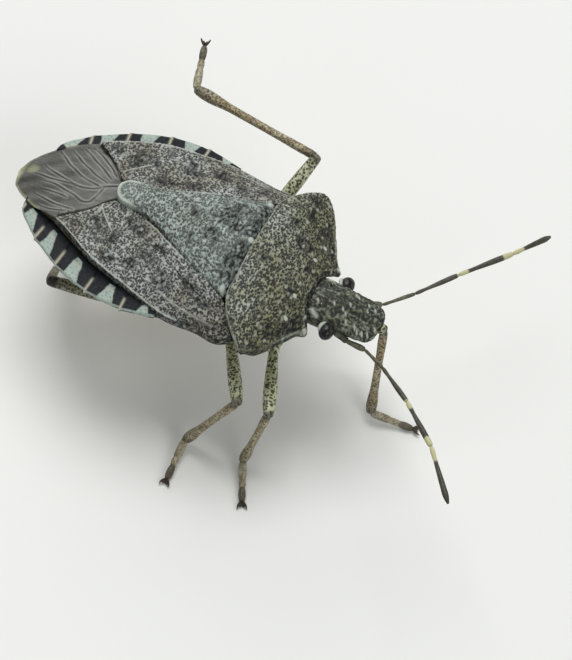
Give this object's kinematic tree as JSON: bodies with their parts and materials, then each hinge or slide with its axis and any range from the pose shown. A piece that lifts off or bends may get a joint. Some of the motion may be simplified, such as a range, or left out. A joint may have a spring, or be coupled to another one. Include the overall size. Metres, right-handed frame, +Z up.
{
  "type": "shield bug",
  "caption": "Life-size still model of a brown marmorated shield bug standing with one hind leg lifted.",
  "frame": {"origin": "on the floor, at the middle of the model's outline", "axes": "+X towards the head, +Y to the bug's left side, +Z up"},
  "size_m": [0.0208, 0.0156, 0.0075],
  "materials": {
    "head": "grey, densely pitted with black",
    "eyes": "dark brown, finely faceted, glossy",
    "beak": "pale brown shell",
    "pronotum": "grey-olive shell, densely pitted with black",
    "scutellum": "grey shell with black pits and a pale green-white tip",
    "corium": "pinkish grey leathery wing with black pits and blotches",
    "membrane": "smoky brown membrane with dark veins",
    "underside": "pale greyish buff shell with dark pits",
    "connexivum": "pale green-white rim with paired black blocks",
    "legs": "pale brown, speckled with dark brown",
    "feet": "brown with dark claws",
    "feelers": "dark brown with pale yellow rings"
  },
  "bodies": {
    "root": {"head": "head", "eye_left": "eyes", "corium_left": "corium", "membrane_left": "membrane", "connexivum_left": "connexivum", "antenna_left_1": "feelers", "antenna_left_2": "feelers", "antenna_left_3": "feelers", "antenna_left_4": "feelers", "antenna_left_5": "feelers", "coxa_front_left": "legs", "femur_front_left": "legs", "tibia_front_left": "legs", "tarsus_front_left": "feet", "coxa_middle_left": "legs", "femur_middle_left": "legs", "tibia_middle_left": "legs", "tarsus_middle_left": "feet", "coxa_hind_left": "legs", "femur_hind_left": "legs", "tibia_hind_left": "legs", "tarsus_hind_left": "feet", "eye_right": "eyes", "corium_right": "corium", "membrane_right": "membrane", "connexivum_right": "connexivum", "antenna_right_1": "feelers", "antenna_right_2": "feelers", "antenna_right_3": "feelers", "antenna_right_4": "feelers", "antenna_right_5": "feelers", "coxa_front_right": "legs", "femur_front_right": "legs", "tibia_front_right": "legs", "tarsus_front_right": "feet", "coxa_middle_right": "legs", "femur_middle_right": "legs", "tibia_middle_right": "legs", "tarsus_middle_right": "feet", "coxa_hind_right": "legs", "femur_hind_right": "legs", "tibia_hind_right": "legs", "tarsus_hind_right": "feet", "rostrum": "beak", "pronotum": "pronotum", "scutellum": "scutellum", "thorax": "underside", "abdomen": "underside"}
  },
  "joints": []
}
